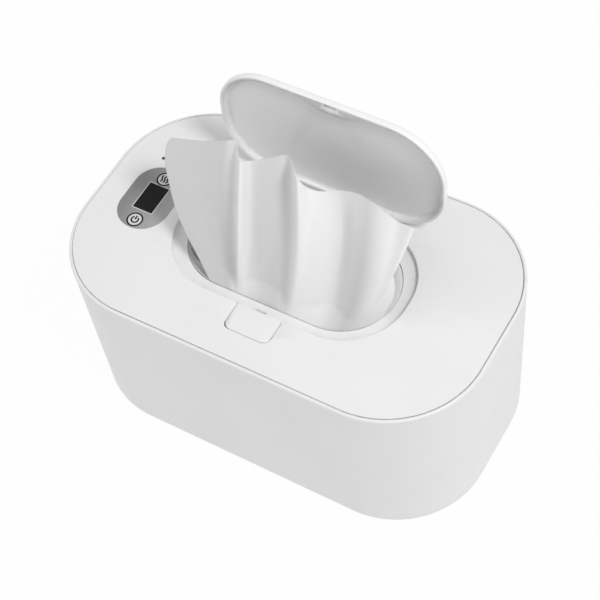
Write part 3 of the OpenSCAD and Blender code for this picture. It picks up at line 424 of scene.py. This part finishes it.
def wipe_sheet():
    """The wipe's middle surface and its map. At height share v each fold line is the parabola
    foot (2v - 1)(v - 1) + middle 4v(1 - v) + top v(2v - 1), swollen sideways by
    swell sin(pi 2v) low down. The foot follows the mouth's edge. Below it the tail eases down
    and back, and its two ends fan out round the mouth's ends."""
    u, v = np.meshgrid(np.linspace(0, 1, SHEET_ACROSS), np.linspace(-TAIL_SHARE, 1, SHEET_UP))
    q = curve_through(WIPE_LINES, u)
    foot_x, foot_y = foot_line(q[..., 0], FOOT_GAP + (q[..., 1] + LINES_IN) * eased(v / LINES_FROM))
    foot = np.stack([foot_x, foot_y, np.full_like(foot_x, SEAT)], -1)
    middle = np.stack([q[..., 3], q[..., 4], np.full_like(foot_x, TOP + MIDDLE_UP)], -1)
    top = np.stack([q[..., 5], q[..., 6], TOP + q[..., 7]], -1)
    rise = np.clip(v, 0, 1)[..., None]
    x, y, z = np.moveaxis(foot * (2 * rise - 1) * (rise - 1) + middle * 4 * rise * (1 - rise)
                          + top * rise * (2 * rise - 1), -1, 0)
    x = x + q[..., 2] * np.sin(np.pi * np.clip(2 * v, 0, 1))
    sink = np.clip(-v / TAIL_SHARE, 0, 1)
    left, right = np.clip(1 - u / END_SHARE, 0, 1), np.clip(1 - (1 - u) / END_SHARE, 0, 1)
    ends = np.maximum(left, right)
    x, y = left_turned(x, y, left, sink)
    back = sink ** 1.5 * (1 - ends)
    x, y = x - TAIL_NARROWS * x * back, y + (TAIL_BACK - y) * back
    x, y = right_fanned(x, y, foot_x, foot_y, right, sink)
    x, y = kept_inside(x, y, sink)
    z = z - (TAIL_DOWN * (1 - (1 - sink) ** 2) * (1 - ends) ** 2
             + (END_SINKS * sink + TIP_SINKS * sink ** 3) * ends)
    points = np.stack([x, y, z], -1)
    across = np.linalg.norm(np.diff(points, axis=1, prepend=points[:, :1]), axis=-1)
    along = np.linalg.norm(np.diff(points, axis=0, prepend=points[:1]), axis=-1)
    uv = np.stack([np.cumsum(across, 1).mean(0, keepdims=True).repeat(len(points), 0),
                   np.cumsum(along, 0).mean(1, keepdims=True).repeat(points.shape[1], 1)], -1) / 100
    return points, uv


points, uv = wipe_sheet()
wipe = surface("pulled_wipe", points, uv, wipe_cloth)
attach(wipe, "top_lid")
cloth_wall = wipe.modifiers.new("cloth_wall", "SOLIDIFY")
cloth_wall.thickness = CLOTH_WALL
cloth_wall.offset = 0
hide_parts("wipe")
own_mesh(wipe)


# ---------------------------------------------------------------- panel print

def ring_points(x, y, r, start=0, end=360, steps=48):
    """Points of an arc about a place on the panel."""
    a = np.radians(np.linspace(start, end, steps))
    return np.stack([x + r * np.cos(a), y + r * np.sin(a)], -1)


def stroke(path, width):
    """A line of even width along a path: its left and right edges."""
    along = np.gradient(path, axis=0)
    side = np.stack([-along[:, 1], along[:, 0]], -1) / np.linalg.norm(along, axis=1)[:, None]
    return path + side * width / 2, path - side * width / 2


def printed(name, strips, height, material):
    """Flat print on the panel: each strip is a pair of edges at one height."""
    verts, faces = [], []
    for left, right in strips:
        n, first = len(left), len(verts)
        verts += [(x * MM, y * MM, height * MM) for x, y in np.vstack([left, right])]
        faces += [(first + k, first + n + k, first + n + k + 1, first + k + 1) for k in range(n - 1)]
    mesh = bpy.data.meshes.new(name)
    mesh.from_pydata(verts, [], faces)
    mesh.materials.append(material)
    piece = placed(name, mesh)
    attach(piece, "top_lid")


def disc(x, y, r):
    """A filled circle as a strip from its rim to its middle."""
    rim = ring_points(x, y, r)
    return rim, np.zeros_like(rim) + (x, y)


# Centres and radius of the two key prints and how far inside their rims the dark rings lie,
# half the display's size and how far its border starts and ends outside it, the width of the
# dark lines, and how far under the lid's face the light and dark prints lie
LOWER_KEY_Y, UPPER_KEY_Y = -13.5, 11.7
KEY_R, RING_IN = 3.8, 0.3
DISPLAY_HALF = np.array([5, 7.5])
BORDER_START, BORDER_END = 0.06, 0.5
LINE_W = 0.75
LIGHT_DOWN, DARK_DOWN = 0.03, 0.01
# The power mark's open ring (radius, first and last angle) and its stroke above the centre, and
# the heat mark's three waves: their places sideways, half their height and their swing
POWER_R, POWER_FROM, POWER_TO = 1.6, 125, 415
POWER_STROKE = (0.1, 1, 2.2)
WAVES_AT, WAVE_HALF, WAVE_SWING = (-1.4, 0, 1.4), 1.8, 0.35
corners = np.array([[-1, -1], [1, -1], [1, 1], [-1, 1], [-1, -1]])
middle = np.array([PANEL_X, 0])
border = (middle + corners * (DISPLAY_HALF + BORDER_END),
          middle + corners * (DISPLAY_HALF + BORDER_START))
printed("panel_light_print", [border, disc(PANEL_X, LOWER_KEY_Y, KEY_R),
                              disc(PANEL_X, UPPER_KEY_Y, KEY_R)],
        TOP - LIGHT_DOWN, key_print)
power_mark = [ring_points(PANEL_X, LOWER_KEY_Y, POWER_R, POWER_FROM, POWER_TO),
              np.array([[PANEL_X, LOWER_KEY_Y + y] for y in POWER_STROKE])]
rise = np.linspace(-1, 1, 24)
heat_mark = [np.stack([PANEL_X + x + WAVE_SWING * np.sin(np.pi * (rise + 1)),
                       UPPER_KEY_Y + WAVE_HALF * rise], -1) for x in WAVES_AT]
rings = [ring_points(PANEL_X, y, KEY_R - RING_IN) for y in (LOWER_KEY_Y, UPPER_KEY_Y)]
printed("panel_dark_print", [stroke(path, LINE_W) for path in rings + power_mark + heat_mark],
        TOP - DARK_DOWN, display_black)


# ---------------------------------------------------------------- floor, light and camera

def white_to_camera(nodes, links, share):
    """A share of plain white where the camera, a reflection or clear plastic sees it."""
    seen = nodes.new("ShaderNodeLightPath")
    total = seen.outputs["Is Camera Ray"]
    for other in ("Is Glossy Ray", "Is Transmission Ray"):
        either = nodes.new("ShaderNodeMath")
        either.operation = "MAXIMUM"
        links.new(total, either.inputs[0])
        links.new(seen.outputs[other], either.inputs[1])
        total = either.outputs["Value"]
    part = nodes.new("ShaderNodeMath")
    part.operation = "MULTIPLY"
    part.inputs[1].default_value = share
    links.new(total, part.inputs[0])
    return part.outputs["Value"]


def whitened(nodes, links, share, own, kind, output):
    """A shader's own light, with a share of plain white where the camera sees it."""
    white = nodes.new(kind)
    white.inputs["Color"].default_value = WHITE
    white.inputs["Strength"].default_value = 1.0
    both = nodes.new("ShaderNodeMixShader")
    links.new(white_to_camera(nodes, links, share), both.inputs["Fac"])
    links.new(own, both.inputs[1])
    links.new(white.outputs[0], both.inputs[2])
    links.new(both.outputs["Shader"], nodes[output].inputs["Surface"])


# Half the floor's side in metres, the share of white that the camera sees on it, the strength
# of the room's light and the place that the lamps face
FLOOR_HALF = 3
FLOOR_WHITE = 0.97
ROOM_STRENGTH = 0.55
LAMP_AIM = (0, 0, 0.06)

floor_mat, nodes, links, shader = node_material("pale_floor")
pale = tinted(nodes, links, grain(nodes, links, 8, 2, 0, 1), srgb(226, 226, 226), srgb(230, 230, 230))
links.new(pale, shader.inputs["Base Color"])
shader.inputs["Roughness"].default_value = 0.9
whitened(nodes, links, FLOOR_WHITE, shader.outputs["BSDF"], "ShaderNodeEmission", "Material Output")
floor_mesh = bpy.data.meshes.new("floor")
floor_corners = [(FLOOR_HALF * x, FLOOR_HALF * y, 0) for x, y in ((-1, -1), (1, -1), (1, 1), (-1, 1))]
floor_mesh.from_pydata(floor_corners, [], [(0, 1, 2, 3)])
floor_mesh.materials.append(floor_mat)
floor = placed("floor", floor_mesh)

world = bpy.data.worlds.new("soft_room")
bpy.context.scene.world = world
world.use_nodes = True
nodes, links = world.node_tree.nodes, world.node_tree.links
room = nodes["Background"]
room.inputs["Color"].default_value = WHITE
room.inputs["Strength"].default_value = ROOM_STRENGTH
whitened(nodes, links, 1.0, room.outputs["Background"], "ShaderNodeBackground", "World Output")


def soft_lamp(name, place, size, watts):
    """A square lamp that faces the body's middle."""
    lamp = bpy.data.lights.new(name, "AREA")
    lamp.shape = "SQUARE"
    lamp.size = size
    lamp.energy = watts
    piece = placed(name, lamp)
    piece.location = place
    aim = Vector(LAMP_AIM) - Vector(place)
    piece.rotation_euler = aim.to_track_quat("-Z", "Y").to_euler()


soft_lamp("key_right", (0.82, -0.19, 1.29), 0.35, 10.1)
soft_lamp("fill_left", (-1.1, -0.85, 0.6), 0.5, 3.0)

# Camera at the photograph's viewing angle: place, viewing direction, right and up, and the
# lens's focal length and the image's width in pixels
FOCAL_PIXELS, IMAGE_PIXELS = 1678.085, 600
eye = Vector((0.263421, -0.342879, 0.681666))
look = Vector((-0.347806, 0.452416, -0.821188))
right = Vector((0.863020, 0.496749, -0.091850))
up = Vector((-0.366370, 0.740648, 0.563217))
lens = bpy.data.cameras.new("camera")
lens.sensor_fit = "HORIZONTAL"
lens.sensor_width = 36
lens.lens = FOCAL_PIXELS / IMAGE_PIXELS * lens.sensor_width
lens.clip_start = 0.01
camera = placed("camera", lens)
turn = Matrix((right, up, -look)).transposed().to_4x4()
camera.matrix_world = Matrix.Translation(eye) @ turn
bpy.context.scene.camera = camera
bpy.context.scene.view_settings.view_transform = "Standard"
